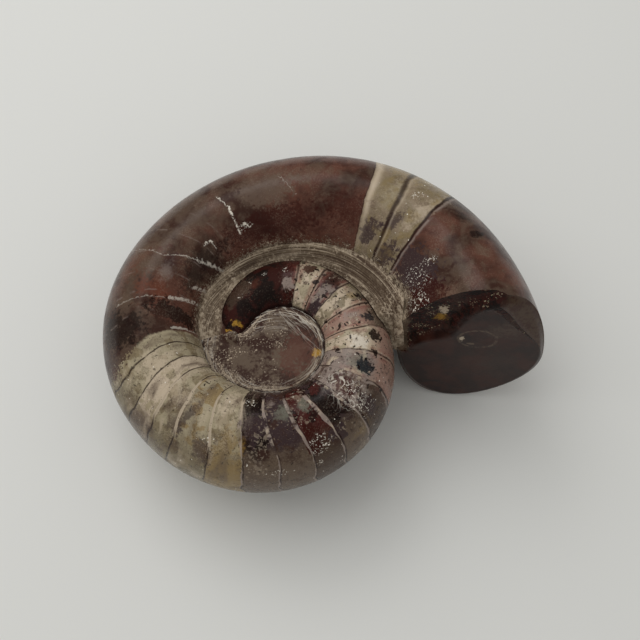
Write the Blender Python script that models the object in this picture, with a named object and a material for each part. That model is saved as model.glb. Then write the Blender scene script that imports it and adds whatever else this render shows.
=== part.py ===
# Polished ammonite fossil, modelled as one solid stone lying on its side.
#
# The shell is a tube wound on a logarithmic spiral. "Turn" is the angle run back along the
# spiral from the mouth, counter-clockwise seen from above, so the mouth is at 0 and the inner
# whorl starts at 360 degrees. "Around" is the angle round the tube's own section: 0 on the
# outer edge, 90 on the upper side, 180 towards the coil's axis.
# Lengths that scale with the coil are shares of spiral_radius. Everything is in metres, +Z up.

from math import asin, atan, cos, degrees, exp, hypot, pi, radians, sin

import bmesh
import bpy
from mathutils import Matrix, Vector

# Driving dimensions of the coil
spiral_radius = 0.078  # coil axis to outer edge at the mouth, of the true spiral
growth_per_turn = 2.34  # how much larger each whorl is than the one inside it
last_turn = 570  # where the inner whorl ends, buried under the navel floor
mouth_bearing = -2.6  # angle of the mouth from +X, counter-clockwise

# Where the spiral departs from a true one: share of radius, turn, and reach in degrees
mouth_wear = (-0.012, 0, 48)
left_swell = (0.057, 174, 40)
inner_swell = (0.115, 460, 48)

# The tube's section
half_width = 0.388  # half of the tube's width over its outer radius, at the mouth
width_gain = 0.017  # how much that grows with each turn inwards
squareness = 2.04  # 2 is an ellipse, more is squarer
squareness_gain = 0.14
inner_sink = (0.30, 503, 563)  # share by which the inner whorl thins, and between which turns
inner_edge_mouth = 0.442  # inner edge of the tube over its outer radius, at the mouth
inner_edge_low = 0.326  # the same three quarters of a turn in
inner_edge_inner = 0.339  # the same on the inner whorl
whorl_gap = 0.0004  # the outer whorl is dented by the inner one, and stays this far off it
mouth_lean = 0.25  # near the mouth the whorl leans, its outer half higher than its inner
mouth_lean_end = 90

# The ground mouth
mouth_lay_back = 0.074  # how far the flat ground face leans back for each step up
mouth_swing = 0.042  # and for each step in towards the axis
mouth_trim = 0.006  # how far back it is ground, on the outer edge
mouth_plane_end = 45  # turn by which the rows of points stop following the ground plane
rim_bevel = 0.0009
rim_start = 0.93  # share of the section at which the bevel starts
facet_depth = 0.0028  # wide bevel on the upper outer corner
recess_depth = 0.0030  # unground rough part on the upper inner side
recess_slope = 0.16
mouth_marks_end = 15  # turn by which bevel, facet and recess have run out along the tube
# How far each reaches in towards the face's middle, the angle around of its middle, and its reach in degrees
facet_spread = (0.19, 38, 30)
recess_spread = (0.57, 128, 48)

# Stone left in the navel
shelf_outer_height = 0.198  # the carved shelf's outer edge over the whorl's outer radius
shelf_inner_height = 0.112  # its inner edge, on the inner whorl
shelf_sink = 0.03  # how far its far end dives under the navel floor
shelf_dip = 0.0007
shelf_start = 2
shelf_settles = 148
shelf_end = 206
shelf_toe = 0.3  # share of its height left where it starts, beside the mouth
shelf_toe_end = 14  # turn by which it has risen to full height
floor_height = 0.108
floor_change = (165, 195)  # bearings between which its hidden edge passes from inner to outer whorl
floor_dip = 0.0008

# How it lies
lie_about_x = -1.4
lie_about_y = -4.6
lap_depth = 0.0010  # stone lapped off the underside where it touches the table

# Fineness
row_step = 5  # degrees of turn between two rows of points
ring_points = 30
face_shares = (0.955, 0.88, 0.78, 0.66, 0.54, 0.42, 0.22)


def bump(turn, size, middle, reach):
    return size * exp(-(((turn - middle) / reach) ** 2))


def ease(x):
    x = min(max(x, 0.0), 1.0)
    return x * x * (3 - 2 * x)


def outer_radius(turn):
    spiral = growth_per_turn ** (-turn / 360)
    strays = (mouth_wear, left_swell, inner_swell)
    return spiral * (1 + sum(bump(turn, *stray) for stray in strays))


def inner_radius(turn):
    share = inner_edge_mouth
    share += (inner_edge_low - inner_edge_mouth) * ease((turn - 120) / 150)
    share += (inner_edge_inner - inner_edge_low) * ease((turn - 270) / 90)
    return outer_radius(turn) * share


def middle_radius(turn):
    return (outer_radius(turn) + inner_radius(turn)) / 2


def tube_half_width(turn):
    share, start, end = inner_sink
    sunk = 1 - share * ease((turn - start) / (end - start))
    return outer_radius(turn) * (half_width + width_gain * turn / 360) * sunk


def tube_power(turn):
    return squareness + squareness_gain * turn / 360


def fade(turn, end):
    return min(max(1 - turn / end, 0.0), 1.0)


def signed_power(x, power):
    return (abs(x) ** power) * (1 if x >= 0 else -1)


def tube_point(turn, around, share=1.0):
    """Distance from the axis and height of a point on the tube, or inside it for a share under 1."""
    half_height = (outer_radius(turn) - inner_radius(turn)) / 2
    power = 2 / tube_power(turn)
    across = signed_power(cos(around), power)
    up = signed_power(sin(around), power)
    lean = mouth_lean * fade(turn, mouth_lean_end) * cos(around) * abs(up)
    edge = middle_radius(turn) + half_height * across
    if turn + 360 <= last_turn:
        edge = max(edge, outer_radius(turn + 360) + whorl_gap / spiral_radius)
    radius = middle_radius(turn) * (1 - share) + edge * share
    return radius, share * tube_half_width(turn) * (up + lean)


def flank_radius(turn, height, side):
    """Distance from the axis of the tube's flank at a height: side 1 is outer, -1 inner."""
    half_height = (outer_radius(turn) - inner_radius(turn)) / 2
    power = tube_power(turn)
    left = max(1 - abs(height / tube_half_width(turn)) ** power, 0.0)
    return middle_radius(turn) + side * half_height * left ** (1 / power)


def mouth_plane_bearing(radius, height):
    """Bearing, past the mouth's own, at which the flat ground face is met."""
    reach = mouth_lay_back * height + mouth_swing + mouth_trim
    return asin(reach / (radius * hypot(1, mouth_swing))) - atan(mouth_swing)


def place(turn, radius, height, setback=0.0):
    """The point in the coil's own axes; setback moves it back from the mouth along the spiral."""
    bearing = radians(turn + mouth_bearing)
    bearing += mouth_plane_bearing(radius, height) * fade(turn, mouth_plane_end)
    bearing += setback / (radius * spiral_radius)
    return Vector((radius * cos(bearing), radius * sin(bearing), height)) * spiral_radius


def mouth_setback(around, share):
    """How far behind the ground face a point of the mouth lies."""
    around = degrees(around) % 360
    past_mid = around - 360 if around > 240 else around
    rim = rim_bevel * ease((share - rim_start) / (1 - rim_start))
    facet_edge = 1 - bump(past_mid, *facet_spread)
    facet = facet_depth * max(share - facet_edge, 0.0) / facet_spread[0]
    recess_edge = 1 - bump(past_mid, *recess_spread)
    recess = recess_depth * ease((share - recess_edge) / recess_slope)
    return max(rim + facet, recess)


def sweep(rings):
    """A closed mesh through rings of points, each end filled."""
    mesh = bmesh.new()
    rows = [[mesh.verts.new(point) for point in ring] for ring in rings]
    count = len(rows[0])
    for near, far in zip(rows, rows[1:]):
        for k in range(count):
            following = (k + 1) % count
            mesh.faces.new((near[k], near[following], far[following], far[k]))
    for end in (rows[0], rows[-1]):
        middle = sum((vert.co for vert in end), Vector()) / count
        hub = mesh.verts.new(middle)
        for k in range(count):
            mesh.faces.new((end[k], end[(k + 1) % count], hub))
    bmesh.ops.recalc_face_normals(mesh, faces=mesh.faces)
    return mesh


def whorl_mesh():
    arounds = [2 * pi * k / ring_points for k in range(ring_points)]
    rings = []
    for share in reversed(face_shares):
        ring = [(around, *tube_point(0, around, share)) for around in arounds]
        rings.append([place(0, r, z, mouth_setback(a, share)) for a, r, z in ring])
    for turn in range(0, last_turn + 1, row_step):
        ring = [(around, *tube_point(turn, around)) for around in arounds]
        ease_off = fade(turn, mouth_marks_end)
        rings.append([place(turn, r, z, mouth_setback(a, 1.0) * ease_off) for a, r, z in ring])
    return sweep(rings)


def shelf_ring(turn):
    """Section of the carved stone between the two whorls, upper and lower surfaces alike."""
    settle = ease((turn - shelf_settles) / (shelf_end - shelf_settles))
    risen = shelf_toe + (1 - shelf_toe) * ease((turn - shelf_start) / (shelf_toe_end - shelf_start))
    high = shelf_outer_height * outer_radius(turn) * risen
    high += (floor_height - shelf_sink - high) * settle
    low = min(shelf_inner_height * risen, high)
    outer = flank_radius(turn, high, -1)
    inner = flank_radius(turn + 360, low, 1)
    slope = (high - low) / max(outer - inner, 0.01)
    buried = 0.03
    dip = shelf_dip / spiral_radius
    top = [
        (outer + buried, high + slope * buried),
        (outer, high),
        ((outer + inner) / 2, (high + low) / 2 - dip),
        (inner, low),
        (inner - buried, low - slope * buried),
    ]
    bottom = [(radius, -height) for radius, height in reversed(top)]
    return [place(turn, radius, height) for radius, height in top + bottom]


def shelf_mesh():
    return sweep([shelf_ring(turn) for turn in range(shelf_start, shelf_end + 1, 3)])


def floor_reach(bearing):
    """Radius of the floor's edge, which is buried along the middle of the whorl around it."""
    start, end = floor_change
    moved = ease((bearing - start) / (end - start))
    return middle_radius(bearing + 360) * (1 - moved) + middle_radius(bearing) * moved


def floor_mesh():
    """The navel's floor, slightly dished above and below."""
    shares = (0.15, 0.4, 0.7, 1.0)
    dips = [floor_dip / spiral_radius * (1 - share**2) for share in shares]
    outline = [(share, floor_height - dip) for share, dip in zip(shares, dips)]
    outline += [(share, -height) for share, height in reversed(outline)]
    bearings = range(0, 360, 8)
    rings = []
    for share, height in outline:
        ring = [(share * floor_reach(bearing), radians(bearing + mouth_bearing)) for bearing in bearings]
        rings.append([Vector((r * cos(b), r * sin(b), height)) * spiral_radius for r, b in ring])
    return sweep(rings)


def stone_material():
    material = bpy.data.materials.new("polished stone")
    material.use_nodes = True
    surface = material.node_tree.nodes["Principled BSDF"]
    surface.inputs["Base Color"].default_value = (0.13, 0.075, 0.055, 1)
    surface.inputs["Roughness"].default_value = 0.3
    surface.inputs["Metallic"].default_value = 0.0
    return material


def add_object(name, shape, turned):
    mesh = bpy.data.meshes.new(name)
    shape.to_mesh(mesh)
    shape.free()
    mesh.transform(turned)
    made = bpy.data.objects.new(name, mesh)
    bpy.context.scene.collection.objects.link(made)
    return made


def use_as_tool(tool):
    tool.hide_render = True
    tool.display_type = "WIRE"


def add_boolean(target, tool, operation):
    use_as_tool(tool)
    boolean = target.modifiers.new(tool.name, "BOOLEAN")
    boolean.operation = operation
    boolean.solver = "EXACT"
    boolean.object = tool


def build():
    for leftover in list(bpy.data.objects):
        bpy.data.objects.remove(leftover)
    turned = Matrix.Rotation(radians(lie_about_x), 4, "X") @ Matrix.Rotation(radians(lie_about_y), 4, "Y")
    whorls = whorl_mesh()
    corners = [turned @ vert.co for vert in whorls.verts]
    lows = [min(corner[axis] for corner in corners) for axis in range(3)]
    highs = [max(corner[axis] for corner in corners) for axis in range(3)]
    sink = lows[2] + lap_depth
    centre = Vector(((lows[0] + highs[0]) / 2, (lows[1] + highs[1]) / 2, sink))
    placed = Matrix.Translation(-centre) @ turned

    ammonite = add_object("ammonite", whorls, placed)
    ammonite.data.materials.append(stone_material())
    table = bmesh.new()
    bmesh.ops.create_cube(table, size=0.4, matrix=Matrix.Translation((0, 0, -0.2)))
    add_boolean(ammonite, add_object("lap tool", table, Matrix()), "DIFFERENCE")
    add_boolean(ammonite, add_object("shelf tool", shelf_mesh(), placed), "UNION")
    add_boolean(ammonite, add_object("floor tool", floor_mesh(), placed), "UNION")

    ammonite.data.shade_smooth()
    ammonite.data.set_sharp_from_angle(angle=radians(35))


build()
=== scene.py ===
from math import atan, hypot, pi, radians
from types import SimpleNamespace

import bpy
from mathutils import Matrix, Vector


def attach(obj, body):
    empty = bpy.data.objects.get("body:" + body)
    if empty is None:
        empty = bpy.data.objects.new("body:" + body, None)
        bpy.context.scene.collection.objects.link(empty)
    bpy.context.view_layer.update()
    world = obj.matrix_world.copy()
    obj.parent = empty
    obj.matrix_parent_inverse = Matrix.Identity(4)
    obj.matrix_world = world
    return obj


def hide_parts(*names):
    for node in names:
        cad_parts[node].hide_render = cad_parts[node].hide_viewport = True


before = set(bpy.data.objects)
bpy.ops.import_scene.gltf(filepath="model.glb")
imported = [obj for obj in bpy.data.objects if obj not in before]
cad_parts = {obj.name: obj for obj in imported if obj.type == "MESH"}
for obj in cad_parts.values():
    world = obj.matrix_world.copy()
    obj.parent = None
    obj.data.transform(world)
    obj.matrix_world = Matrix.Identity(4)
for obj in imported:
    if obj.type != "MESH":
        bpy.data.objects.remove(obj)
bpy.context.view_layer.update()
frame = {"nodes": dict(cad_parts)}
print("frame loaded:", ", ".join(frame["nodes"]))


class Wire:
    # One socket of a node tree. Arithmetic on it adds Math nodes, in a mesh tree and in a material alike.
    def __init__(self, tree, socket=None):
        self.tree = tree
        self.socket = socket

    def add(self, kind, settings, values, outlet=0):
        node = self.tree.nodes.new(kind)
        for name, value in settings.items():
            if name == "stops":
                layStops(node.color_ramp, value)
            else:
                setattr(node, name, value)
        for key, value in values.items():
            for source in value if isinstance(value, list) else [value]:
                if isinstance(source, Wire):
                    self.tree.links.new(source.socket, node.inputs[key])
                else:
                    node.inputs[key].default_value = source
        return Wire(self.tree, node.outputs[outlet] if len(node.outputs) else None)

    def also(self, outlet):
        return Wire(self.tree, self.socket.node.outputs[outlet])

    def maths(self, operation, *terms):
        return self.add("ShaderNodeMath", {"operation": operation}, dict(enumerate(terms)))

    def of(self, operation, *others):
        return self.maths(operation, self, *others)

    def __add__(self, other):
        return self.of("ADD", other)

    def __radd__(self, other):
        return self.of("ADD", other)

    def __sub__(self, other):
        return self.of("SUBTRACT", other)

    def __rsub__(self, other):
        return self.maths("SUBTRACT", other, self)

    def __mul__(self, other):
        return self.of("MULTIPLY", other)

    def __rmul__(self, other):
        return self.of("MULTIPLY", other)

    def __truediv__(self, other):
        return self.of("DIVIDE", other)

    def __rtruediv__(self, other):
        return self.maths("DIVIDE", other, self)

    def __pow__(self, other):
        return self.of("POWER", other)

    def __rpow__(self, other):
        return self.maths("POWER", other, self)

    def __abs__(self):
        return self.of("ABSOLUTE")

    def atLeast(self, other):
        return self.of("MAXIMUM", other)

    def atMost(self, other):
        return self.of("MINIMUM", other)

    def ease(self, low, high):
        # 0 at low, 1 at high, with soft ends; low may be the larger
        limits = {"Value": self, "From Min": low, "From Max": high}
        return self.add("ShaderNodeMapRange", {"interpolation_type": "SMOOTHSTEP", "clamp": False}, limits)

    def hump(self, middle, reach):
        off = (self - middle) / reach
        return (off * off * -1).of("EXPONENT")


def cloud(spot, scale, detail=2.0, seed=0.0, twist=0.0):
    values = {"Vector": spot, "W": seed, "Scale": scale, "Detail": detail, "Distortion": twist}
    return spot.add("ShaderNodeTexNoise", {"noise_dimensions": "4D"}, values)


def layStops(ramp, stops):
    ramp.interpolation = "CONSTANT" if stops[0] == "steps" else "LINEAR"
    stops = stops[1:] if stops[0] == "steps" else stops
    while len(ramp.elements) < len(stops):
        ramp.elements.new(1.0)
    for element, (place, colour) in zip(ramp.elements, stops):
        element.position = place
        element.color = colour


# Sizes of the shell. Lengths with no unit are shares of the spiral radius. A turn is an angle
# wound back from the mouth; around is the angle round the tube, 0 on its outer edge, 90 on top.
coil = {
    "Spiral Radius": 0.078,
    "Growth per Turn": 2.34,
    "Last Turn": 570.0,
    "Mouth Bearing": -2.6,
    "Half Width": 0.388,
    "Width Gain": 0.017,
    "Squareness": 2.04,
    "Squareness Gain": 0.14,
    "Inner Edge at Mouth": 0.442,
    "Inner Edge Halfway": 0.326,
    "Inner Edge Inside": 0.339,
    "Whorl Gap": 0.0004,
    "Mouth Lean": 0.25,
    "Rim Bevel": 0.0009,
    "Facet Depth": 0.0028,
    "Recess Depth": 0.0030,
    "Shelf Outer Height": 0.198,
    "Shelf Inner Height": 0.112,
    "Floor Height": 0.108,
    "Centre X": 0.011438,
    "Centre Y": 0.010941,
    "Rest Height": 0.025604,
    "Polish Wobble": 0.00018,
    "Seam Groove": 0.00022,
    "Tool Groove": 0.00018,
    "Seed": 4.0,
    "Points Around": 156,
    "Rows Along": 500,
    "Mouth Rings": 44,
}
# where the spiral departs from a true one: share of radius, turn, reach in turns
coilStrays = ((-0.012, 0, 48), (0.057, 174, 40), (0.115, 460, 48))
mouthPlane = {"layBack": 0.074, "swing": 0.042, "trim": 0.006, "end": 45}
coilLie = {"aboutX": -1.4, "aboutY": -4.6}
shelfTurns = {"start": 2, "settles": 148, "end": 206, "toe": 0.3, "toeEnd": 14}
# the mouth's polished facet and rough corner: middle and reach round the tube, share of the section
facet = {"over": (38, 30), "share": 0.19}
recess = {"over": (128, 48), "share": 0.57, "slope": 0.16}
zones = {"whorl": 0.0, "shelf": 1.0, "floor": 2.0, "mouth": 3.0}


def outerRadius(size, turn):
    spiral = size["Growth per Turn"] ** (turn * (-1 / 360))
    stray = 1
    for share, middle, reach in coilStrays:
        stray = stray + turn.hump(middle, reach) * share
    return spiral * stray


def innerShare(size, turn):
    mouth, low, inside = (size["Inner Edge " + name] for name in ("at Mouth", "Halfway", "Inside"))
    return mouth + (low - mouth) * turn.ease(120, 270) + (inside - low) * turn.ease(270, 360)


def section(size, turn):
    # the tube's outer radius, middle radius, half height, half width and power at a turn
    outer = outerRadius(size, turn)
    share = innerShare(size, turn)
    sunk = 1 - turn.ease(503, 563) * 0.30
    width = outer * (size["Half Width"] + size["Width Gain"] * turn / 360) * sunk
    power = size["Squareness"] + size["Squareness Gain"] * turn / 360
    return {
        "outer": outer,
        "middle": outer * (1 + share) / 2,
        "half": outer * (1 - share) / 2,
        "width": width,
        "power": power,
    }


def flankRadius(ring, height, side):
    left = (1 - abs(height / ring["width"]) ** ring["power"]).atLeast(0.0)
    return ring["middle"] + ring["half"] * left ** (1 / ring["power"]) * side


def mouthBearing(radius, height):
    # how far past the mouth's own bearing the flat ground face is met, in radians
    swing = mouthPlane["swing"]
    reach = height * mouthPlane["layBack"] + (swing + mouthPlane["trim"])
    return (reach / (radius * hypot(1, swing))).of("ARCSINE") - atan(swing)


def fade(turn, end):
    return (1 - turn / end).atLeast(0.0).atMost(1.0)


def placed(size, turn, radius, height, setback=0.0):
    bearing = (turn + size["Mouth Bearing"]) * (pi / 180)
    bearing = bearing + mouthBearing(radius, height) * fade(turn, mouthPlane["end"])
    bearing = bearing + setback / (radius * size["Spiral Radius"])
    across = radius * size["Spiral Radius"]
    parts = {0: across * bearing.of("COSINE"), 1: across * bearing.of("SINE"), 2: height * size["Spiral Radius"]}
    return turn.add("ShaderNodeCombineXYZ", {}, parts)


def rounded(value, power):
    return value.of("SIGN") * abs(value) ** power


def position(start):
    point = start.add("ShaderNodeSeparateXYZ", {}, {0: start.add("GeometryNodeInputPosition", {}, {})})
    return point, point.also(1), point.also(2)


def moved(mesh, parts, socket="Position"):
    place = mesh.add("ShaderNodeCombineXYZ", {}, parts)
    return mesh.add("GeometryNodeSetPosition", {}, {"Geometry": mesh, socket: place})


def store(mesh, domain, name, value):
    settings = {"data_type": "FLOAT", "domain": domain}
    return mesh.add("GeometryNodeStoreNamedAttribute", settings, {"Geometry": mesh, "Name": name, "Value": value})


def whorlMesh(start, size):
    sides = {
        "Vertices": size["Points Around"],
        "Side Segments": size["Rows Along"],
        "Fill Segments": size["Mouth Rings"],
        "Radius": 1.0,
        "Depth": 1.0,
    }
    raw = start.add("GeometryNodeMeshCylinder", {"fill_type": "TRIANGLE_FAN"}, sides, "Mesh")
    x, y, z = position(start)
    around = y.of("ARCTAN2", x)
    share = 1 - (1 - (x * x + y * y) ** 0.5).atLeast(0.0) ** 1.5
    tail = size["Growth per Turn"] ** (size["Last Turn"] * (-1 / 360))
    turn = (1 - (0.5 - z) * (1 - tail)).of("LOGARITHM", size["Growth per Turn"]) * -360
    ring = section(size, turn)
    power = 2 / ring["power"]
    across, up = rounded(around.of("COSINE"), power), rounded(around.of("SINE"), power)
    lean = size["Mouth Lean"] * fade(turn, 90) * around.of("COSINE") * abs(up)
    dented = outerRadius(size, turn + 360) + size["Whorl Gap"] / size["Spiral Radius"]
    dented = dented * (size["Last Turn"] - 360 - turn).of("GREATER_THAN", 0.0)
    edge = (ring["middle"] + ring["half"] * across).atLeast(dented)
    radius = ring["middle"] * (1 - share) + edge * share
    height = share * ring["width"] * (up + lean)

    degreesAround = around * (180 / pi)
    rim = size["Rim Bevel"] * share.ease(0.93, 1.0)
    intoFacet = share - 1 + degreesAround.hump(*facet["over"]) * facet["share"]
    facetDepth = size["Facet Depth"] * intoFacet.atLeast(0.0) / facet["share"]
    intoRecess = (share - 1 + degreesAround.hump(*recess["over"]) * recess["share"]) / recess["slope"]
    recessDepth = size["Recess Depth"] * intoRecess.ease(0.0, 1.0)
    setback = (rim + facetDepth).atLeast(recessDepth) * fade(turn, 15)
    where = placed(size, turn, radius, height, setback)

    marked = store(raw, "FACE", "coarseTurn", turn)
    marked = store(marked, "FACE", "zone", raw.also("Top") * zones["mouth"])
    return start.add("GeometryNodeSetPosition", {}, {"Geometry": marked, "Position": where})


def shelfMesh(start, size):
    sides = {"Vertices": 64, "Side Segments": 210, "Fill Segments": 1, "Radius": 1.0, "Depth": 1.0}
    raw = start.add("GeometryNodeMeshCylinder", {"fill_type": "TRIANGLE_FAN"}, sides, "Mesh")
    x, y, z = position(start)
    over = abs(y.of("ARCTAN2", x)) / pi  # 0 at the outer buried edge, 1 at the inner one
    upper = (y + 0.0001).of("GREATER_THAN", 0.0) * 2 - 1
    spread = shelfTurns["end"] - shelfTurns["start"]
    turn = (0.5 - z) * spread + shelfTurns["start"]
    ring, inside = section(size, turn), section(size, turn + 360)
    settle = turn.ease(shelfTurns["settles"], shelfTurns["end"])
    risen = turn.ease(shelfTurns["start"], shelfTurns["toeEnd"]) * (1 - shelfTurns["toe"]) + shelfTurns["toe"]
    high = size["Shelf Outer Height"] * ring["outer"] * risen
    high = high + (size["Floor Height"] - 0.03 - high) * settle
    low = high.atMost(size["Shelf Inner Height"] * risen)
    outer, inner = flankRadius(ring, high, -1), flankRadius(inside, low, 1)
    width = (outer - inner).atLeast(0.01)
    buried = 0.03
    radius = outer + buried - (outer - inner + 2 * buried) * over
    part = (outer - radius) / width
    bow = (part * (1 - part)).atLeast(0.0) * 4
    height = high - (high - low) * part - bow * 0.0007 / size["Spiral Radius"]
    tidy = ((x * x + y * y) ** 0.5).ease(0.0, 0.9)  # the end caps close on the ring's own middle
    middle = (outer + inner) / 2
    radius = middle + (radius - middle) * tidy
    marked = store(store(raw, "FACE", "coarseTurn", turn), "FACE", "zone", zones["shelf"])
    where = placed(size, turn, radius, height * upper * tidy)
    return start.add("GeometryNodeSetPosition", {}, {"Geometry": marked, "Position": where})


def floorMesh(start, size):
    sides = {"Vertices": 180, "Side Segments": 1, "Fill Segments": 26, "Radius": 1.0, "Depth": 1.0}
    raw = start.add("GeometryNodeMeshCylinder", {"fill_type": "TRIANGLE_FAN"}, sides, "Mesh")
    x, y, z = position(start)
    bearing = (y.of("ARCTAN2", x) * (180 / pi)).of("WRAP", 360.0, 0.0)
    share = (x * x + y * y) ** 0.5
    inward = bearing.ease(165, 195)
    reach = section(size, bearing + 360)["middle"] * (1 - inward) + section(size, bearing)["middle"] * inward
    height = size["Floor Height"] - (1 - share * share) * 0.0008 / size["Spiral Radius"]
    height = height * z.of("SIGN")
    angle = (bearing + size["Mouth Bearing"]) * (pi / 180)
    across = share * reach * size["Spiral Radius"]
    parts = {0: across * angle.of("COSINE"), 1: across * angle.of("SINE"), 2: height * size["Spiral Radius"]}
    marked = store(store(raw, "FACE", "coarseTurn", bearing), "FACE", "zone", zones["floor"])
    return moved(marked, parts)


def named(start, name):
    return start.add("GeometryNodeInputNamedAttribute", {"data_type": "FLOAT"}, {"Name": name})


def readMeasures(start, size, mesh):
    # Every corner of every face gets its turn, its angle round the tube and its share of the section,
    # worked out from where it is, so that nothing smears across a seam.
    x, y, z = (part / size["Spiral Radius"] for part in position(start))
    radius = (x * x + y * y) ** 0.5
    coarse = named(start, "coarseTurn")
    offFace = mouthBearing(radius.atLeast(0.1), z) * (180 / pi) * fade(coarse, mouthPlane["end"])
    bearing = y.of("ARCTAN2", x) * (180 / pi) - size["Mouth Bearing"] - offFace
    turn = coarse + (bearing - coarse).of("WRAP", 180.0, -180.0)
    ring = section(size, turn)
    across, up = (radius - ring["middle"]) / ring["half"], z / ring["width"]
    around = up.of("ARCTAN2", across) * (180 / pi)
    share = (abs(across) ** ring["power"] + abs(up) ** ring["power"]) ** (1 / ring["power"])
    lane = radius / ring["outer"]
    for name, value in {"turn": turn, "around": around, "share": share, "lane": lane}.items():
        mesh = store(mesh, "CORNER", name, value)
    return mesh


def coilTree(sizes):
    tree = bpy.data.node_groups.new("ammonite coil", "GeometryNodeTree")
    for name, value in sizes.items():
        kind = "NodeSocketInt" if isinstance(value, int) else "NodeSocketFloat"
        tree.interface.new_socket(name=name, in_out="INPUT", socket_type=kind)
    tree.interface.new_socket(name="Stone", in_out="INPUT", socket_type="NodeSocketMaterial")
    tree.interface.new_socket(name="Geometry", in_out="OUTPUT", socket_type="NodeSocketGeometry")
    start = Wire(tree)
    inlet = start.add("NodeGroupInput", {}, {})
    size = {name: inlet.also(name) for name in sizes}

    solids = [whorlMesh(start, size), shelfMesh(start, size), floorMesh(start, size)]
    joined = start.add(
        "GeometryNodeMeshBoolean", {"operation": "UNION", "solver": "MANIFOLD"}, {"Mesh 2": solids}, "Mesh"
    )
    cut = {"data_type": "BOOLEAN", "domain": "EDGE"}
    edges = {"Geometry": joined, "Name": "joint", "Value": joined.also("Intersecting Edges")}
    joined = start.add("GeometryNodeStoreNamedAttribute", cut, edges)
    isJoint = start.add("GeometryNodeInputNamedAttribute", {"data_type": "BOOLEAN"}, {"Name": "joint"})
    # where the shelf runs out into the floor there is no seam to see
    x, y, z = position(start)
    bearing = y.of("ARCTAN2", x * -1)  # from -X
    tail = abs(bearing + 0.08).ease(0.46, 0.44) * ((x * x + y * y) ** 0.5).ease(0.0204, 0.0203)
    isSeen = isJoint * (1 - tail)
    joints = start.add("GeometryNodeSeparateGeometry", {"domain": "EDGE"}, {"Geometry": joined, "Selection": isSeen})
    near = start.add("GeometryNodeProximity", {"target_element": "EDGES"}, {"Target": joints}, "Distance")
    mesh = store(readMeasures(start, size, joined), "POINT", "seam", near * 1000)

    for spin in ((0, radians(coilLie["aboutY"]), 0), (radians(coilLie["aboutX"]), 0, 0)):
        mesh = start.add("GeometryNodeTransform", {}, {"Geometry": mesh, "Rotation": spin})
    shift = {0: size["Centre X"] * -1, 1: size["Centre Y"] * -1, 2: size["Rest Height"]}
    mesh = carve(start, size, moved(mesh, shift, "Offset"))
    x, y, z = position(start)
    mesh = moved(mesh, {0: x, 1: y, 2: z.atLeast(0.0)})  # the underside is lapped flat
    for name, part in {"east": x, "north": y, "height": z}.items():
        mesh = store(mesh, "POINT", name, part * 1000)

    mesh = start.add("GeometryNodeSetShadeSmooth", {"domain": "FACE"}, {"Geometry": mesh, "Shade Smooth": True})
    sharp = start.add("GeometryNodeInputMeshEdgeAngle", {}, {}).of("GREATER_THAN", radians(38))
    creases = {"Geometry": mesh, "Selection": sharp, "Shade Smooth": False}
    mesh = start.add("GeometryNodeSetShadeSmooth", {"domain": "EDGE"}, creases)
    mesh = start.add("GeometryNodeRealizeInstances", {}, {"Geometry": mesh})
    mesh = start.add("GeometryNodeSetMaterial", {}, {"Geometry": mesh, "Material": inlet.also("Stone")})
    start.add("NodeGroupOutput", {}, {"Geometry": mesh})
    return tree


def carve(start, size, mesh):
    # Wear and tool work, always into the stone: polishing wobble, seam grooves, scraped shelf, rough floor.
    spot = start.add("GeometryNodeInputPosition", {}, {})
    zone, turn, lane, seam = (named(start, name) for name in ("zone", "turn", "lane", "seam"))
    shelf = zone.hump(zones["shelf"], 0.3)
    floor = zone.hump(zones["floor"], 0.3)
    slow, rough = cloud(spot, 60, 1.0, size["Seed"]), cloud(spot, 520, 2.0, size["Seed"])
    track = start.add("ShaderNodeCombineXYZ", {}, {0: lane * 110, 1: turn * 0.035})  # long grooves along the shelf
    tool = cloud(track, 1, 3.0, size["Seed"])
    depth = size["Polish Wobble"] * slow * (1 - shelf - floor)
    depth = depth + size["Seam Groove"] * seam.ease(0.7, 0.0)
    depth = depth + size["Tool Groove"] * (tool.ease(0.3, 0.7) + rough * 0.6) * shelf
    depth = depth + rough * floor * 0.00008
    depth = depth + rough * seam.ease(2.2, 0.0) * 0.0002
    out = start.add("GeometryNodeInputNormal", {}, {})
    offset = start.add("ShaderNodeVectorMath", {"operation": "SCALE"}, {0: out, "Scale": depth * -1})
    return start.add("GeometryNodeSetPosition", {}, {"Geometry": mesh, "Offset": offset})


def buildAmmonite(stone):
    tree = coilTree(coil)
    made = bpy.data.objects.new("ammonite_shell", bpy.data.meshes.new("ammonite raw"))
    bpy.context.scene.collection.objects.link(made)
    modifier = made.modifiers.new("coil", "NODES")
    modifier.node_group = tree
    for item in tree.interface.items_tree:
        if item.in_out == "INPUT":
            modifier[item.identifier] = stone if item.name == "Stone" else coil[item.name]
    graph = bpy.context.evaluated_depsgraph_get()
    mesh = bpy.data.meshes.new_from_object(made.evaluated_get(graph))
    made.modifiers.clear()
    made.data = mesh
    return made


# Colours of the stone as red, green and blue out of 255
palette = {
    "chocolate": (96, 62, 50),
    "umber": (60, 38, 30),
    "maroon": (56, 20, 14),
    "wine": (68, 30, 26),
    "blackWine": (25, 14, 11),
    "purpleGrey": (60, 46, 47),
    "smoke": (98, 80, 68),
    "rust": (104, 50, 30),
    "amber": (170, 128, 44),
    "ochre": (138, 116, 78),
    "cream": (160, 148, 122),
    "paleCream": (190, 173, 150),
    "tan": (122, 110, 86),
    "white": (222, 214, 200),
    "lavender": (142, 127, 118),
    "pink": (152, 122, 108),
    "rose": (142, 92, 80),
    "greyBrown": (98, 82, 68),
    "greyGreen": (108, 106, 92),
    "blueBlack": (34, 38, 42),
    "matrix": (72, 55, 43),
    "band": (138, 121, 100),
    "seamLine": (36, 16, 12),
    "mouthDark": (34, 14, 9),
    "mouthBrown": (54, 24, 15),
}
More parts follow.
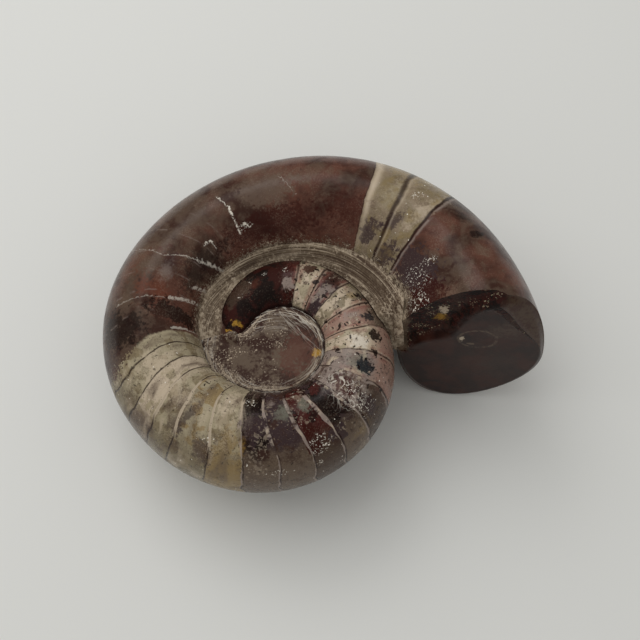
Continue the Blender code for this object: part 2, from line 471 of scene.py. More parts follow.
# The chambers from the first suture inwards. A gap is the turn where it starts and the width of a
# chamber. Fills: the upper flank, the patches in it, and the outer edge.
chambers = {
    "gaps": ((193, 9.67), (222, 15.5), (315, 17.4)),
    "upper": (
        "cream cream paleCream cream cream cream blackWine purpleGrey wine blackWine "
        "lavender lavender paleCream pink paleCream purpleGrey paleCream maroon blackWine"
    ),
    "patches": (
        "tan tan cream tan ochre tan purpleGrey umber blackWine purpleGrey "
        "umber paleCream cream paleCream tan lavender cream blackWine maroon"
    ),
    "lower": (
        "tan tan greyBrown tan tan ochre greyBrown greyBrown matrix greyBrown "
        "matrix pink pink greyBrown tan umber cream wine umber"
    ),
    "bodyEdge": 186,
    "innerEdge": 440,
    "slices": (34, 46.5, 57.5),
}
# Stains, and grey patches of painted sheen: turn, around, how far each reaches, colour, strength
stains = (
    (96, 126, 30, 17, "maroon", 0.75),
    # painted sheen: a grey patch standing for the window's reflection on the polish
    (98, 97, 13, 17, "smoke", 0.8),
    (140, 128, 20, 14, "blackWine", 0.6),
    (62, 112, 14, 20, "maroon", 0.6),
    # painted sheen: the two grey patches below stand for the same reflection
    (124, 92, 18, 26, "smoke", 0.45),
    (96, 82, 16, 18, "smoke", 0.45),
    (160, 70, 22, 34, "greyBrown", 0.5),
    (150, 20, 40, 30, "matrix", 0.5),
    (148, 104, 9, 12, "purpleGrey", 0.5),
    (164, 98, 8, 20, "rust", 0.5),
    (22, 6, 9, 26, "rust", 0.8),
    (10, 40, 5, 22, "rust", 0.5),
    (23, 64, 1.6, 9, "blackWine", 0.8),
    (30, 62, 3, 7, "blackWine", 0.6),
    (20, 122, 13, 19, "purpleGrey", 0.9),
    (8, 124, 7, 16, "maroon", 0.85),
    (171, 122, 6, 26, "blackWine", 0.85),
    (181, 62, 8, 34, "blackWine", 0.8),
    (188, 26, 7, 26, "purpleGrey", 0.6),
    (152, 104, 6, 9, "lavender", 0.4),
    (163, 84, 8, 12, "rust", 0.45),
    (175, 109, 5, 12, "umber", 0.7),
    (169, 94, 4, 9, "blackWine", 0.6),
    (158, 60, 9, 16, "rust", 0.35),
    (37, 134, 5, 16, "purpleGrey", 0.9),
    (43, 108, 3, 14, "purpleGrey", 0.8),
    (49, 122, 4, 13, "purpleGrey", 0.85),
    (38, 82, 3, 30, "paleCream", 0.5),
    (50, 84, 4, 22, "cream", 0.5),
    (52, 48, 10, 16, "ochre", 0.7),
    (207, 22, 3, 14, "umber", 0.6),
    (206, 43, 4, 15, "matrix", 0.6),
    (230, 37, 4, 12, "umber", 0.65),
    (227, 62, 4, 12, "purpleGrey", 0.6),
    (241, 50, 4, 15, "purpleGrey", 0.7),
    (217, 128, 4, 6, "umber", 0.6),
    (223, 84, 2, 9, "purpleGrey", 0.6),
    (219, 32, 3, 12, "umber", 0.5),
    (229, 70, 2.6, 26, "purpleGrey", 0.75),
    (244, 44, 3, 15, "umber", 0.65),
    (199, 92, 7, 22, "paleCream", 0.6),
    (217, 88, 9, 16, "paleCream", 0.6),
    (243, 112, 8, 18, "paleCream", 0.7),
    (250, 58, 5, 26, "ochre", 0.7),
    (258, 108, 5, 26, "blackWine", 0.95),
    (262, 84, 6, 18, "purpleGrey", 0.9),
    (258, 62, 2, 13, "amber", 0.4),
    (269, 118, 4, 9, "lavender", 0.7),
    (278, 100, 6, 14, "greyGreen", 0.75),
    (277, 74, 7, 13, "purpleGrey", 0.9),
    (267, 54, 3, 9, "umber", 0.9),
    (293, 104, 6, 13, "greyGreen", 0.8),
    (291, 60, 4, 22, "maroon", 0.97),
    (306, 114, 5.5, 9, "wine", 0.9),
    (307, 80, 6, 19, "blackWine", 0.97),
    (303, 48, 5, 12, "purpleGrey", 0.9),
    (323, 90, 6, 20, "wine", 0.8),
    (324, 46, 4, 20, "purpleGrey", 0.85),
    (314, 28, 6, 12, "ochre", 0.4),
    (341, 82, 9, 22, "greyGreen", 0.6),
    (341, 72, 4, 13, "blueBlack", 0.97),
    (357, 84, 7, 14, "white", 0.6),
    (363, 58, 3.5, 10, "blackWine", 0.95),
    (376, 62, 3, 12, "blueBlack", 0.9),
    (379, 84, 5, 14, "lavender", 0.7),
    (390, 50, 4, 10, "blackWine", 0.8),
    (395, 66, 5, 9, "ochre", 0.6),
    (412, 62, 9, 24, "umber", 0.8),
    (428, 96, 2.6, 5, "umber", 0.7),
    (431, 68, 5, 12, "maroon", 0.9),
    (444, 104, 6, 12, "lavender", 0.9),
    (515, 103, 4.5, 15, "amber", 0.85),
    (443, 72, 8, 16, "wine", 0.85),
    (456, 82, 8, 18, "maroon", 0.8),
    (474, 84, 9, 14, "rust", 0.4),
    (492, 72, 16, 22, "matrix", 0.8),
    (470, 112, 13, 15, "blackWine", 0.95),
    (499, 102, 16, 15, "blackWine", 0.85),
)
# Pale veins: turn and around at each end, half width in millimetres, strength
veins = (
    (106, 126, 109, 121, 0.6, 0.9),
    (111.5, 127, 113, 102, 0.65, 1.0),
    (113, 102, 116, 82, 0.25, 0.7),
    (126, 128, 127, 119, 0.35, 0.9),
    (127, 119, 131, 118, 0.35, 0.9),
    (129, 150, 138, 124, 1.2, 0.6),
    (138, 124, 147, 94, 0.3, 0.45),
    (147, 94, 150, 50, 0.25, 0.3),
    (150, 50, 142, 4, 0.3, 0.4),
    (140, 40, 131, -4, 0.3, 0.45),
    (146, 150, 151, 134, 1.1, 0.5),
    (156, 150, 164, 116, 1.1, 0.55),
    (164, 116, 172, 60, 0.3, 0.3),
    (176, 148, 180, 120, 0.8, 0.5),
    (84, 106, 92, 82, 0.22, 0.35),
    (12, 22, 24, -20, 0.3, 0.35),
)
# Where bright mineral flecks and painted highlight glints gather: turn, around, how far each reaches
fleckAndGlintSpots = (
    (17, 124, 7, 13),
    (20, 108, 2.5, 7),
    (7, 134, 7, 12),
    (294, 48, 7, 14),
    (274, 30, 4, 6),
    (291, 26, 2, 5),
    (256, 116, 5, 8),
    # painted highlights: the glints on the inmost whorl
    (448, 76, 3, 6),
    (464, 74, 3, 6),
    (491, 83, 3, 7),
    (477, 77, 3, 6),
    (52, 34, 2.5, 7),
    (46, 48, 2.5, 8),
    (44, 74, 2, 7),
    (109, 124, 5, 4),
    (377, 80, 5, 6),
    # painted highlights: the glassy curls near turn 321
    (323, 60, 8, 30),
)
# Marks on the ground mouth: millimetres across and up, reach both ways, colour, strength
mouthMarks = (
    (44.6, 38.6, 4.6, 4.8, "blackWine", 0.3),
    (40.7, 37.8, 0.7, 1.3, "paleCream", 0.8),
    (43.8, 35.2, 1.3, 0.5, "greyBrown", 0.8),
    (34.2, 43.8, 2.0, 2.2, "amber", 0.6),
    (34.6, 48.4, 1.5, 2.0, "paleCream", 0.8),
    (35.1, 9.3, 3.2, 0.8, "blackWine", 0.8),
    (52.0, 44.0, 7.0, 5.0, "greyBrown", 0.35),
    (50.0, 24.0, 12.0, 14.0, "smoke", 0.15),
)
# The small round chip in the mouth, in millimetres
mouthChip = {"across": 45.2, "up": 38.2, "wide": 5.477, "high": 4.899}
# Marks on the navel floor, the same way, across and along
floorMarks = (
    (-25.6, -5.4, 2.2, 1.2, "amber", 0.9),
    (-23.2, -4.4, 1.2, 0.7, "amber", 0.8),
    (-6.6, -14.0, 5.8, 7.6, "chocolate", 0.75),
    (-0.9, -13.9, 1.3, 1.3, "amber", 0.85),
    (-9.0, 0.0, 6.0, 1.5, "umber", 0.8),
)
navelHub = (-14.0, -12.6)  # what the drag marks circle
# How each part of the stone takes light: roughness, refraction, and the height of the fine relief
polish = {
    "whorl": 0.22,
    "shelf": 0.62,
    "floor": 0.42,
    "mouth": 0.34,
    "gloss": 1.3,
    "reliefStrength": 0.7,
    "reliefDepth": 0.0004,
}


def paint(name):
    parts = [part / 255 for part in palette[name]]
    return (*[part / 12.92 if part < 0.04 else ((part + 0.055) / 1.055) ** 2.4 for part in parts], 1)


def blend(mask, under, over):
    return mask.add("ShaderNodeMix", {"data_type": "RGBA"}, {"Factor": mask, "A": under, "B": over}, "Result")


def thread(noise, thin):
    # 1 along the lines where a noise passes its middle
    return abs(noise - 0.5).ease(thin, thin * 0.3)


def newGroup(name, inlets, outlet):
    tree = bpy.data.node_groups.new(name, "ShaderNodeTree")
    for direction, sockets in (("INPUT", inlets), ("OUTPUT", (outlet,))):
        for socket in sockets:
            kind = "NodeSocketColor" if socket in ("Under", "Over", "Colour") else "NodeSocketFloat"
            tree.interface.new_socket(name=socket, in_out=direction, socket_type=kind)
    start = Wire(tree)
    inlet = start.add("NodeGroupInput", {}, {})
    return start, {name: inlet.also(name) for name in inlets}


def stainGroup():
    # a spot of another colour, soft-edged where it is faint
    inlets = ("Under", "Over", "Along", "Across", "Ragged", "Strength")
    places = ("Mid Along", "Mid Across", "Reach Along", "Reach Across")
    start, put = newGroup("stain", inlets + places, "Colour")
    along = (put["Along"] - put["Mid Along"]) / put["Reach Along"]
    across = (put["Across"] - put["Mid Across"]) / put["Reach Across"]
    off = (along * along + across * across) ** 0.5 + put["Ragged"]
    cover = off.ease(1.1, put["Strength"] * 1.5 - 0.6) * put["Strength"]
    start.add("NodeGroupOutput", {}, {"Colour": blend(cover, put["Under"], put["Over"])})
    return start.tree


def lay(stain, colour, spots, along, across, ragged):
    # each spot of the stains and painted sheen patches, mouthMarks or floorMarks over the colour so far
    for midAlong, midAcross, reachAlong, reachAcross, name, strength in spots:
        values = {"Under": colour, "Over": paint(name), "Along": along, "Across": across, "Ragged": ragged}
        values.update({"Mid Along": midAlong, "Mid Across": midAcross, "Strength": strength})
        values.update({"Reach Along": reachAlong, "Reach Across": reachAcross})
        colour = ragged.add("ShaderNodeGroup", {"node_tree": stain}, values, "Colour")
    return colour


def veinGroup():
    inlets = ("Turn", "Around", "From Turn", "From Around", "To Turn", "To Around", "Width")
    start, put = newGroup("vein", inlets, "Mask")
    turnScale, aroundScale = 1.15, 0.45  # millimetres for a degree
    x, y = (put["Turn"] - put["From Turn"]) * turnScale, (put["Around"] - put["From Around"]) * aroundScale
    dx, dy = (put["To Turn"] - put["From Turn"]) * turnScale, (put["To Around"] - put["From Around"]) * aroundScale
    along = ((x * dx + y * dy) / (dx * dx + dy * dy)).atLeast(0.0).atMost(1.0)
    offX, offY = x - dx * along, y - dy * along
    off = (offX * offX + offY * offY) ** 0.5 / put["Width"]
    start.add("NodeGroupOutput", {}, {"Mask": off.ease(1.3, 0.4)})
    return start.tree


def steps(names):
    names = names.split()
    return ["steps"] + [(k / len(names), paint(name)) for k, name in enumerate(names)]


def readStone(start):
    # what every colour and groove of the stone is worked out from, in degrees and millimetres
    at = SimpleNamespace(start=start, spot=start.add("ShaderNodeTexCoord", {}, {}, "Object"))
    names = ("turn", "around", "share", "lane", "seam", "zone", "east", "north", "height")
    stored = [start.add("ShaderNodeAttribute", {"attribute_name": name}, {}, "Fac") for name in names]
    at.turn, at.around, at.share, at.lane, at.seam, zone, at.x, at.y, at.z = stored
    at.over = abs(at.around)
    at.onShelf, at.onFloor, at.onMouth = (zone.hump(zones[name], 0.3) for name in ("shelf", "floor", "mouth"))
    at.onWhorl = 1 - at.onShelf - at.onFloor - at.onMouth

    grains = ((110, 1.0), (330, 2.0), (1100, 3.0), (2600, 4.0))  # scale and seed, coarse to fine
    at.slow, at.mid, at.fine, at.grain = (cloud(at.spot, scale, 3.0, seed) for scale, seed in grains)
    at.ragged = (at.slow - 0.5) * 0.8 + (at.mid - 0.5) * 1.6 + (at.fine - 0.5) * 0.8
    at.patch = cloud(at.spot, 190, 3.0, 5.0, 1.2) + (at.fine - 0.5) * 0.12
    lean = ((at.over - 35) * radians(1.5)).of("COSINE") * 7 * (1 - at.turn.ease(240, 350) * 0.7)
    at.back = at.turn - lean + (at.slow - 0.5) * 4 + (at.mid - 0.5) * 0.7
    (firstTurn, before), *laterGaps = chambers["gaps"]
    at.phase, gap = (at.back - firstTurn) / before, before
    for fromTurn, width in laterGaps:
        at.phase = at.phase + (at.back - fromTurn).atLeast(0.0) * (1 / width - 1 / before)
        gap = (at.back - fromTurn).of("GREATER_THAN", 0.0) * (width - before) + gap
        before = width
    at.pastSuture = ((at.phase + 0.5).of("FRACT") - 0.5) * gap / (at.turn.ease(240, 400) * 0.9 + 1)
    at.toSuture = abs(at.pastSuture)
    at.chambered = (
        at.back.ease(chambers["bodyEdge"] - 3, chambers["bodyEdge"] + 1)
        * at.back.ease(chambers["innerEdge"] + 6, chambers["innerEdge"] - 6)
    )
    return at


def bodyStone(at):
    # the body chamber: brown stone, clouded grey and dark red
    broad = cloud(at.spot, 42, 4.0, 6.0, 0.5)
    body = blend((broad + (at.slow - 0.5) * 0.7).ease(0.4, 0.62), paint("chocolate"), paint("umber"))
    body = blend((at.patch + (broad - 0.5)).ease(0.46, 0.66) * 0.5, body, paint("greyBrown"))
    body = blend((broad * -1 + 1 + (at.mid - 0.5) * 0.6).ease(0.56, 0.7) * 0.5, body, paint("maroon"))
    # painted shade: the outer edge is darkened to umber against the overhead lamp's light there
    return blend(at.over.ease(70, 15) * 0.6, body, paint("umber"))


def chamberStone(at, body):
    # each chamber's filling, and the dark stone inside the last one
    count = len(chambers["upper"].split())
    cell = (at.phase.of("FLOOR") + 1.5) / count
    ramps = [steps(chambers[name]) for name in ("upper", "patches", "lower")]
    upper, patches, lower = (
        cell.add("ShaderNodeValToRGB", {"stops": ramp}, {"Fac": cell}, "Color") for ramp in ramps
    )
    fill = blend(at.patch.ease(0.5, 0.56) * 0.8, upper, patches)
    fill = blend((at.over + at.ragged * 22 - at.turn.ease(252, 258) * 8).ease(60, 34), fill, lower)
    edge = (
        chambers["bodyEdge"]
        + at.ragged * 2
        + at.over.ease(92, 50) * ((at.grain - 0.5) * 16 + (at.fine - 0.5) * 14 + 3)
    )
    at.isChamber = (at.back - edge).ease(-0.8, 0.8)
    colour = blend(at.isChamber, body, fill)
    at.inmost = (at.turn + at.ragged * 5).ease(446, 452)
    return blend(at.inmost, colour, blend(at.patch.ease(0.42, 0.58), paint("maroon"), paint("blackWine")))


def cutBands(at, colour):
    # the pale slanting bands near the mouth
    at.oblique = at.turn + (at.around - 95) * 0.12 + (at.slow - 0.5) * 3 + (at.mid - 0.5) * 0.5
    first, middle, last = chambers["slices"]
    at.slices = at.oblique.ease(first - 0.3, first + 0.3) * at.oblique.ease(last + 0.2, last - 0.2)
    sliceFill = blend((at.patch + (at.slow - 0.5) * 0.4).ease(0.35, 0.65), paint("band"), paint("tan"))
    return blend(at.slices, colour, sliceFill)


def mottle(at, colour):
    # streaks along the sutures in the pale chambers, and grain everywhere
    streaks = cloud(at.spot, 90, 2.0, at.back * 0.0022 + 8, 0.4)
    at.pale = at.isChamber * at.turn.ease(262, 250)
    at.old = at.isChamber * at.turn.ease(250, 262) * (1 - at.inmost)
    colour = blend(streaks.ease(0.5, 0.72) * at.pale * 0.75, colour, paint("greyBrown"))
    colour = blend(streaks.ease(0.5, 0.3) * at.pale * 0.6, colour, paint("paleCream"))
    colour = blend(
        (at.patch + (at.slow - 0.5) * 0.5).ease(0.45, 0.7) * (at.pale * 0.2 + at.slices * 0.6), colour, paint("ochre")
    )
    blush = (
        at.toSuture.ease(3.2, 1.0)
        * at.turn.ease(328, 340)
        * (1 - at.inmost)
        * (at.slow + (at.mid - 0.5) * 0.6).ease(0.42, 0.55)
    )
    colour = blend(blush * 0.6, colour, paint("rose"))
    colour = blend(
        (at.fine + (at.mid - 0.5)).ease(0.54, 0.68) * (at.pale * 0.12 + at.slices * 0.15 + at.old * 0.35),
        colour,
        paint("umber"),
    )
    colour = blend(
        (at.fine + (at.slow - 0.5) + (at.grain - 0.5) * 0.5).ease(0.64, 0.72) * at.old * 0.3,
        colour,
        paint("paleCream"),
    )
    colour = blend(
        (at.grain + (at.mid - 0.5) * 0.8).ease(0.5, 0.7) * (at.isChamber * 0.12 + 0.14), colour, paint("umber")
    )
    colour = blend(
        (at.grain + (at.slow - 0.5) * 0.6).ease(0.44, 0.32) * (at.pale * 0.15 + at.slices * 0.15 + 0.08),
        colour,
        paint("paleCream"),
    )
    return colour


def sutureLines(at, colour):
    # a dark line, and beside it the pale wall of the chamber on part of the whorl
    first, middle, last = chambers["slices"]
    broken = (at.mid + (at.slow - 0.5) * 0.8).ease(0.36, 0.5)
    softWall = (
        at.toSuture.ease(0.9, 0.35)
        * at.turn.ease(207, 211)
        * at.turn.ease(256, 252)
        * at.over.ease(44, 58)
        * at.over.ease(124, 114)
    )
    colour = blend(softWall * (at.fine + 0.3).ease(0.5, 0.7) * 0.95, colour, paint("paleCream"))
    thick = (at.mid - 0.5) * 2.4 - 0.9 - at.over.ease(40, 84) * 1.4
    wall = (
        (at.pastSuture - thick).ease(0.0, 0.3)
        * at.pastSuture.ease(-0.1, -0.35)
        * at.chambered
        * at.turn.ease(248, 256)
        * at.turn.ease(352, 344)
    )
    wall = wall * (at.patch + (at.over - 60) * 0.001).ease(0.62, 0.52)
    colour = blend(wall * 0.9, colour, blend(at.mid.ease(0.45, 0.75), paint("lavender"), paint("paleCream")))
    thinWall = at.toSuture.ease(1.2, 0.7) * at.chambered * at.turn.ease(344, 352) * broken * 0.35
    colour = blend(thinWall, colour, paint("paleCream"))
    plain = at.turn.ease(213, 210).atLeast(at.turn.ease(342, 350))
    plain = plain.atLeast(at.over.ease(60, 42)).atLeast(at.over.ease(112, 120))
    at.darkLine = at.toSuture.ease(0.55, 0.15) * at.chambered * (plain * 0.8 + 0.2) * (broken * 0.5 + 0.5)
    colour = blend(at.darkLine * 0.85, colour, paint("seamLine"))
    faintLine = (
        at.toSuture.ease(0.5, 0.15)
        * at.back.ease(chambers["bodyEdge"], 176)
        * at.back.ease(120, 130)
        * at.mid.ease(0.45, 0.62)
    )
    colour = blend(faintLine * 0.35, colour, paint("lavender"))
    rim = (
        (at.oblique - (last - 1.3)).hump(0.0, 1.2) * (at.over.ease(128, 100) * 0.7 + 0.2)
        + (at.oblique - (middle - 1.2)).hump(0.0, 0.5) * 0.35
    )
    colour = blend(rim * at.slices * (at.mid + 0.25).ease(0.4, 0.65), colour, paint("paleCream"))
    outRim = (at.oblique - (first - 1.0)).hump(0.0, 0.5) * 0.7
    colour = blend(outRim * broken, colour, paint("lavender"))
    sliceLine = (
        abs(at.oblique - first).ease(0.8, 0.2) * 0.9
        + abs(at.oblique - middle).ease(1.3, 0.2) * 0.8
        + abs(at.oblique - last - 0.2).ease(0.4, 0.1) * 0.4
    )
    return blend(sliceLine * (at.mid + 0.2).ease(0.3, 0.5), colour, paint("seamLine"))


def veinLines(at, colour):
    # white mineral veins, broken along their length
    vein = veinGroup()
    place = {"Turn": at.turn + at.ragged * 1.6, "Around": at.around + (at.fine - 0.5) * 10}
    white = 0
    for fromTurn, fromAround, toTurn, toAround, width, strength in veins:
        ends = {"From Turn": fromTurn, "From Around": fromAround, "To Turn": toTurn, "To Around": toAround}
        values = {**place, **ends, "Width": width}
        mask = at.start.add("ShaderNodeGroup", {"node_tree": vein}, values, "Mask") * strength
        white = mask.atLeast(white)
    white = white * (at.fine + (at.mid - 0.5) * 0.6).ease(0.36, 0.55)
    return blend(white, colour, paint("white"))


def flecksAndGlints(at, colour):
    # dark specks in the chambers, and white specks: partly bright mineral flecks, partly painted highlight glints
    at.specks = cloud(at.spot, 430, 2.0, 31.0, 0.6).ease(0.63, 0.67)
    smallSpecks = cloud(at.spot, 1100, 2.0, 32.0, 0.6).ease(0.63, 0.68)
    specked = at.turn.ease(310, 340) * at.turn.ease(462, 452)
    specked = specked.atLeast(at.turn.ease(212, 222) * at.turn.ease(252, 244) * at.over.ease(102, 112))
    at.specks = (at.specks.atLeast(smallSpecks) * specked).atLeast(smallSpecks * (at.pale + at.old) * 0.6)
    colour = blend(at.specks * 0.92, colour, paint("blackWine"))
    glinting = 0
    for midTurn, midAround, turnReach, aroundReach in fleckAndGlintSpots:
        glinting = (at.turn.hump(midTurn, turnReach) * at.over.hump(midAround, aroundReach)).atLeast(glinting)
    at.sparks = cloud(at.spot, 2000, 3.0, 21.0, 0.6).ease(0.57, 0.63)
    # painted highlights: whitish curls of reflection on the wet-looking polish
    highlightCurls = thread(cloud(at.spot, 330, 1.0, 22.0, 1.2), 0.03) * at.turn.hump(321, 8) * at.over.hump(84, 26)
    glints = at.sparks * (glinting * cloud(at.spot, 260, 2.0, 9.0)).ease(0.16, 0.36)
    glints = glints.atLeast(highlightCurls * at.mid.ease(0.4, 0.5))
    glints = glints.atLeast(cloud(at.spot, 900, 1.0, 23.0).ease(0.73, 0.76) * (at.old + at.pale + at.slices))
    return blend(glints, colour, paint("white"))


def seamPowder(at, colour):
    # pale powder where the shelf was cut, and the dark crease of each older seam
    at.powder = at.seam + (at.slow - 0.5) * 5 + (at.mid - 0.5) * 2
    crusty = (at.turn.ease(70, 105) * at.turn.ease(200, 180)).atLeast(at.turn.ease(30, 16)) * 0.45 + 0.55
    at.speckle = at.grain + (at.fine - 0.5) * 0.5
    at.crust = (
        (at.speckle + at.powder.ease(5.0, -1.5) * (crusty * 0.36 + at.turn.ease(34, 18) * 0.2)).ease(0.6, 0.86)
        * at.powder.ease(6.0, 3.0)
    )
    at.crustColour = blend(
        (at.mid + (at.fine - 0.5)).ease(0.4, 0.65),
        blend(crusty, paint("greyBrown"), paint("band")),
        paint("paleCream"),
    )
    colour = blend(at.crust * at.over.ease(96, 116) * at.turn.ease(330, 300) * 0.85, colour, at.crustColour)
    at.crease = (at.seam + (at.mid - 0.5) * 1.2 + (at.fine - 0.5) * 0.6).ease(1.2, 0.3) * at.turn.ease(300, 330)
    return blend(at.crease * 0.85, colour, paint("seamLine"))


def scrapedShelf(at, colour):
    # the scraped shelf; its tail ends on a straight line
    at.tool = cloud(at.spot, 60, 4.0, at.lane * 4.4 + 11)
    at.coarseTool = cloud(at.spot, 25, 3.0, at.lane * 2 + 12)
    shelfColour = blend(
        (at.coarseTool + (at.slow - 0.5) * 0.8).ease(0.45, 0.75) * 0.8, paint("band"), paint("greyBrown")
    )
    shelfColour = blend(
        (at.turn.ease(80, 50) * 0.55).atLeast(at.turn.ease(138, 165) * 0.5), shelfColour, paint("matrix")
    )
    shelfColour = blend(at.tool.ease(0.5, 0.43) * 0.75, shelfColour, paint("matrix"))
    shelfColour = blend(at.tool.ease(0.53, 0.6) * 0.7, shelfColour, paint("paleCream"))
    shelfColour = blend((at.fine + (at.mid - 0.5)).ease(0.54, 0.4) * 0.35, shelfColour, paint("matrix"))
    shelfColour = blend((at.turn + at.ragged * 5).ease(20, 3) * 0.85, shelfColour, paint("umber"))
    outerLane = at.lane.ease(0.30, 0.36)
    chalky = at.powder.ease(3.0, -0.5) * 0.24 * outerLane + at.turn.hump(172, 18) * 0.14 + at.turn.ease(32, 8) * 0.2
    shelfColour = blend((at.speckle + chalky).ease(0.58, 0.8) * 0.8, shelfColour, at.crustColour)
    at.pastTail = at.y - at.x * 0.41 - 4.3
    besideTail = at.x.ease(-30.5, -28.5) * at.x.ease(-19, -21) * at.pastTail.ease(-0.2, 0.3) * at.turn.ease(140, 150)
    shelfColour = blend(besideTail * 0.9, shelfColour, paint("maroon"))
    shelfColour = lay(at.stain, shelfColour, floorMarks[:2], at.x, at.y, at.flaky)
    shelfColour = blend(
        (at.seam + (at.fine - 0.5) * 0.8).ease(0.5, 0.1) * (1 - outerLane) * 0.8, shelfColour, paint("umber")
    )
    return blend(at.onShelf, colour, shelfColour)


def navelFloor(at, colour):
    # the navel floor, with drag marks round its rim
    hubX, hubY = at.x - navelHub[0], (at.y - navelHub[1]) * 1.1
    fromHub = (hubX * hubX + hubY * hubY) ** 0.5
    arcs = thread(cloud(at.spot, 60, 3.0, (fromHub * 1.3 + at.slow * 4) / 60 + 13), 0.028)
    chordPlace = at.start.add(
        "ShaderNodeMapping",
        {"vector_type": "TEXTURE"},
        {"Vector": at.spot, "Rotation": (0, 0, radians(-47)), "Scale": (0.02, 0.0022, 1.0)},
    )
    chords = thread(cloud(chordPlace, 1.0, 2.0, 14.0), 0.02) * (at.x + at.y).ease(-17, -11)
    shelfTail = at.x.ease(-19, -21) * ((at.mid - 0.5) * 1.2 - at.pastTail).ease(0.0, 0.5)
    floorColour = blend(
        (cloud(at.spot, 150, 5.0, 15.0, 0.8) + (at.fine - 0.5) * 0.5).ease(0.42, 0.6),
        paint("umber"),
        paint("greyBrown"),
    )
    floorColour = lay(at.stain, floorColour, floorMarks, at.x, at.y, at.flaky)
    ringEdge = at.seam + (at.slow - 0.5) * 1.6
    worn = ringEdge.ease(3.8, 0.4)
    ringMarks = cloud(at.spot, 200, 3.0, at.seam * 0.013 + 19).ease(0.53, 0.62) * ringEdge.ease(2.8, 0.8) * 0.8
    rimLine = abs(at.seam - 0.75).ease(0.28, 0.08) * (at.fine + (at.slow - 0.5)).ease(0.4, 0.6)
    ringMarks = ringMarks.atLeast(rimLine * 0.8)
    dusted = (
        (at.speckle + at.seam.ease(5, 0) * 0.17).ease(0.6, 0.78)
        * (at.x + at.y + at.ragged * 5).ease(-30, -38)
        * at.seam.ease(5.5, 3)
        * 0.85
    )
    ringMarks = ringMarks.atLeast(dusted)
    floorColour = blend(ringMarks * 0.7, floorColour, paint("paleCream"))
    floorColour = blend(at.seam.ease(0.5, 0.15) * 0.8, floorColour, paint("seamLine"))
    at.scratched = (
        (arcs * (worn * 0.9 + at.y.ease(-8, -3) * 0.6)).atLeast(chords * 0.8)
        * (1 - at.x.hump(-6.5, 5) * at.y.hump(-14, 6))
    )
    floorColour = blend(at.scratched * (at.fine * 0.8 + 0.2), floorColour, paint("white"))
    dusty = at.sparks * (at.mid + (at.slow - 0.5) * 0.6).ease(0.5, 0.58) * at.x.ease(-8, -12) * 0.8
    floorColour = blend(dusty, floorColour, paint("paleCream"))
    return blend(at.onFloor.atLeast(at.onShelf * shelfTail), colour, floorColour)


def groundMouth(at, colour):
    # the ground mouth, its unground corner and its polished facet
    facetShare = at.share - 1 + at.around.hump(*facet["over"]) * facet["share"]
    at.onFacet = facetShare.ease(-0.004, 0.012) * at.around.ease(72, 62) * at.onMouth
    besideFacet = (
        (facetShare + at.around.ease(8, 62) * 0.1 + (at.fine - 0.5) * 0.03).ease(0.0, 0.04) * at.around.ease(100, 90)
    )
    unground = at.around.hump(*recess["over"]) * recess["share"]
    at.inRecess = (at.share - 1 + unground + (at.mid - 0.5) * 0.06).ease(0.0, 0.05) * at.around.ease(56, 66)
    at.inRecess = at.inRecess.atLeast(besideFacet) * at.onMouth * (1 - at.onFacet)
    mouthColour = blend((at.slow + (at.mid - 0.5) * 0.5).ease(0.35, 0.65), paint("mouthDark"), paint("mouthBrown"))
    mouthColour = blend((at.patch + (at.fine - 0.5) * 0.8).ease(0.5, 0.7) * 0.4, mouthColour, paint("umber"))
    chipX, chipZ = (at.x - mouthChip["across"]) / mouthChip["wide"], (at.z - mouthChip["up"]) / mouthChip["high"]
    chip = (chipX * chipX + chipZ * chipZ) ** 0.5
    mouthColour = blend(
        abs(chip - 1 + (at.mid - 0.5) * 0.25).ease(0.12, 0.03) * at.fine.ease(0.35, 0.55) * 0.6,
        mouthColour,
        paint("greyBrown"),
    )
    # painted reflection: the upward-tilted facet is lightened to matrix and umber, as if it mirrored the bright table
    mouthColour = blend(
        at.onFacet, mouthColour, blend((at.fine + (at.mid - 0.5)).ease(0.4, 0.65), paint("matrix"), paint("umber"))
    )
    facetEdge = abs(facetShare).ease(0.022, 0.006) * at.around.ease(76, 66)
    mouthColour = blend(facetEdge * 0.85, mouthColour, paint("seamLine"))
    rough = blend((at.mid + (at.fine - 0.5)).ease(0.4, 0.6), paint("blackWine"), paint("maroon"))
    rough = blend(at.patch.ease(0.5, 0.58) * 0.7, rough, paint("umber"))
    rough = blend(at.sparks * (at.mid + (at.slow - 0.5)).ease(0.5, 0.62), rough, paint("cream"))
    mouthColour = blend(at.inRecess * 0.92, mouthColour, rough)
    mouthColour = lay(at.stain, mouthColour, mouthMarks, at.x, at.z, at.flaky)
    lipPowder = (at.seam + (at.mid - 0.5) * 4 + (at.grain - 0.5) * 4).ease(2.4, 0.2) * at.z.ease(22, 28) * 0.6
    mouthColour = blend(lipPowder, mouthColour, paint("band"))
    return blend(at.onMouth, colour, mouthColour)


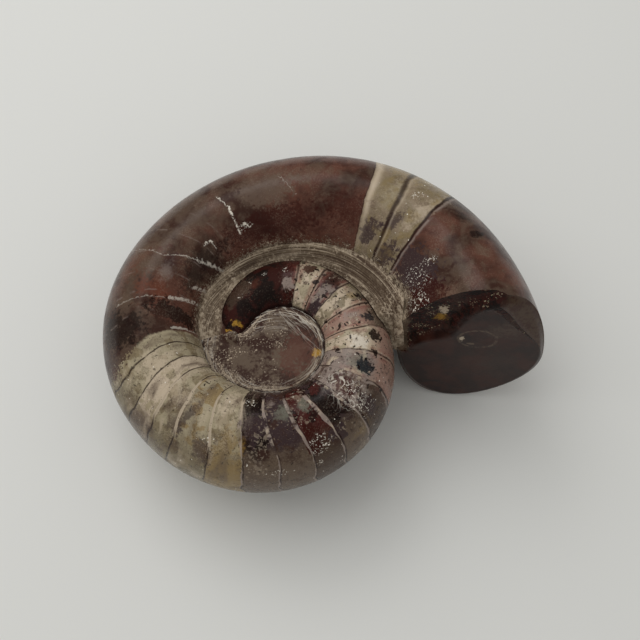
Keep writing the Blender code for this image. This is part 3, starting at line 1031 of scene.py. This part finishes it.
def stoneMaterial():
    material = bpy.data.materials.new("polished ammonite")
    material.use_nodes = True
    material.node_tree.nodes.clear()
    start = Wire(material.node_tree)
    at = readStone(start)
    colour = cutBands(at, chamberStone(at, bodyStone(at)))
    at.flaky = at.ragged + (at.fine - 0.5) * 1.5 + (at.grain - 0.5) * 1.2
    at.stain = stainGroup()
    # lays the stains, and among them the grey patches of painted sheen
    colour = lay(at.stain, colour, stains, at.turn, at.over, at.ragged + (at.fine - 0.5) * 1.2)
    for finish in (mottle, sutureLines, veinLines, flecksAndGlints, seamPowder, scrapedShelf, navelFloor, groundMouth):
        colour = finish(at, colour)

    worn = (at.mid - 0.45).atLeast(0.0) * 0.5 + (at.slow - 0.5).atLeast(0.0) * 0.4
    whorlRoughness = worn + at.crust * 0.45 + at.crease * 0.3 + at.inmost * 0.35 + polish["whorl"]
    roughness = (
        whorlRoughness * at.onWhorl
        + at.onShelf * polish["shelf"]
        + at.onFloor * (at.scratched * 0.3 + polish["floor"])
        + at.onMouth * polish["mouth"]
        - at.onFacet * 0.1
        + at.inRecess * 0.25
    )
    whorlRelief = at.fine * 0.06 + at.grain * 0.03 + at.slow * 0.9
    whorlRelief = whorlRelief - at.darkLine * 0.3 - at.specks * 0.4 + at.crust * (at.fine + at.grain) * 0.6
    relief = (
        whorlRelief * at.onWhorl
        + (at.tool + at.coarseTool + at.fine * 0.5) * at.onShelf * 0.9
        + at.fine * at.onFloor * 0.5
        + at.inRecess * (at.mid + at.fine) * 1.4
    )
    bump = {"Strength": polish["reliefStrength"], "Distance": polish["reliefDepth"], "Height": relief}
    bumped = start.add("ShaderNodeBump", {}, bump, "Normal")
    surface = {"Base Color": colour, "Roughness": roughness, "Normal": bumped, "IOR": polish["gloss"]}
    start.add("ShaderNodeOutputMaterial", {}, {"Surface": start.add("ShaderNodeBsdfPrincipled", {}, surface)})
    return material


# How the fossil is shown
studio = {
    "cameraPlace": (-0.00016, -0.13346, 0.32640),
    "cameraTilt": 24.0,
    "lens": 61.11,
    "floorColour": (226, 226, 222),
    "ambient": 0.53,
    "ambientInGloss": 0.2,
    "lamps": {
        "overhead": {"power": 3.9, "size": (1.2, 1.0), "place": (-0.44, 0.34, 0.76), "mirrored": False},
        "window": {"power": 0.55, "size": (0.42, 0.22), "place": (-0.27, 0.46, 0.68), "mirrored": True},
    },
}


def buildStudio():
    scene = bpy.context.scene
    lens = bpy.data.cameras.new("camera")
    lens.sensor_width = 36.0
    lens.lens = studio["lens"]
    camera = bpy.data.objects.new("camera", lens)
    camera.location = studio["cameraPlace"]
    camera.rotation_euler = (radians(studio["cameraTilt"]), 0, 0)
    scene.collection.objects.link(camera)
    scene.camera = camera

    scene.view_settings.view_transform = "Standard"
    world = bpy.data.worlds.new("studio")
    world.use_nodes = True
    world.node_tree.nodes.clear()
    sky = Wire(world.node_tree)
    isGloss = sky.add("ShaderNodeLightPath", {}, {}, "Is Glossy Ray")
    strength = (isGloss * (studio["ambientInGloss"] - 1) + 1) * studio["ambient"]
    shade = sky.add("ShaderNodeBackground", {}, {"Color": (1.0, 1.0, 0.985, 1), "Strength": strength})
    sky.add("ShaderNodeOutputWorld", {}, {"Surface": shade})
    scene.world = world

    for name, told in studio["lamps"].items():
        lamp = bpy.data.lights.new(name, "AREA")
        lamp.shape = "RECTANGLE"
        lamp.size, lamp.size_y = told["size"]
        lamp.energy = told["power"]
        hung = bpy.data.objects.new(name, lamp)
        hung.location = told["place"]
        hung.rotation_euler = (Vector((0, 0, 0.02)) - hung.location).to_track_quat("-Z", "Y").to_euler()
        hung.visible_glossy = told["mirrored"]
        scene.collection.objects.link(hung)

    bpy.ops.mesh.primitive_plane_add(size=6)
    table = bpy.context.object
    table.name = "table"
    paper = bpy.data.materials.new("pale table")
    paper.use_nodes = True
    surface = paper.node_tree.nodes["Principled BSDF"]
    parts = [(part / 255) ** 2.2 for part in studio["floorColour"]]
    surface.inputs["Base Color"].default_value = (*parts, 1)
    surface.inputs["Roughness"].default_value = 0.6
    table.data.materials.append(paper)


buildStudio()
print("studio: camera, table and light set")
stone = stoneMaterial()
print("stone:", len(stone.node_tree.nodes), "nodes")
ammonite = buildAmmonite(stone)
print("ammonite:", len(ammonite.data.polygons), "faces", [a.name for a in ammonite.data.attributes])
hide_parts("ammonite")
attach(ammonite, "root")
